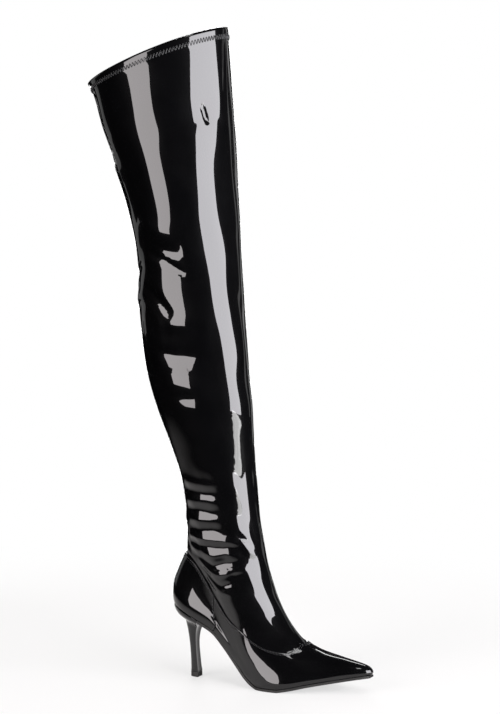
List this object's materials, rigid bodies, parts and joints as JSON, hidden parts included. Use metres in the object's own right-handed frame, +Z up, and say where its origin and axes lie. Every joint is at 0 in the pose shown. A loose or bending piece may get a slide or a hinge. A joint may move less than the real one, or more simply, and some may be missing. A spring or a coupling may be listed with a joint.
{
  "type": "over-the-knee boot",
  "caption": "Right over-the-knee stiletto boot with a pointed toe, tall stretch shaft, inner-side zip and slender covered heel.",
  "frame": {"origin": "on the floor under the heel, in the top piece's lower face", "axes": "+X towards the toe, +Y towards the inner side of the foot, +Z up the leg"},
  "size_m": [0.3408, 0.1326, 0.73],
  "materials": {
    "patent_stretch": "gloss",
    "patent_vamp": "gloss",
    "patent_counter": "gloss",
    "patent_heel": "gloss",
    "sole_rubber": "satin",
    "insole_sheet": "matte",
    "top_piece_rubber": "satin",
    "zip_tape_cloth": "matte",
    "zip_coil_plastic": "satin",
    "zip_slider_metal": "gloss",
    "zip_pull_metal": "gloss"
  },
  "bodies": {
    "boot": {"upper": "patent_stretch", "vamp": "patent_vamp", "counter": "patent_counter", "heel": "patent_heel", "outsole": "sole_rubber", "insole": "insole_sheet", "top_piece": "top_piece_rubber", "zip_tape": "zip_tape_cloth", "zip_coil": "zip_coil_plastic", "zip_slider": "zip_slider_metal"},
    "zip pull": {"zip_pull": "zip_pull_metal"}
  },
  "joints": [
    {"name": "zip pull hinge", "type": "hinge", "parent": "boot", "child": "zip pull", "pos_m": [0.01484, 0.05244, 0.34502], "axis": [0.9728, -0.1616, 0.1657], "range_deg": [0, 150]}
  ]
}
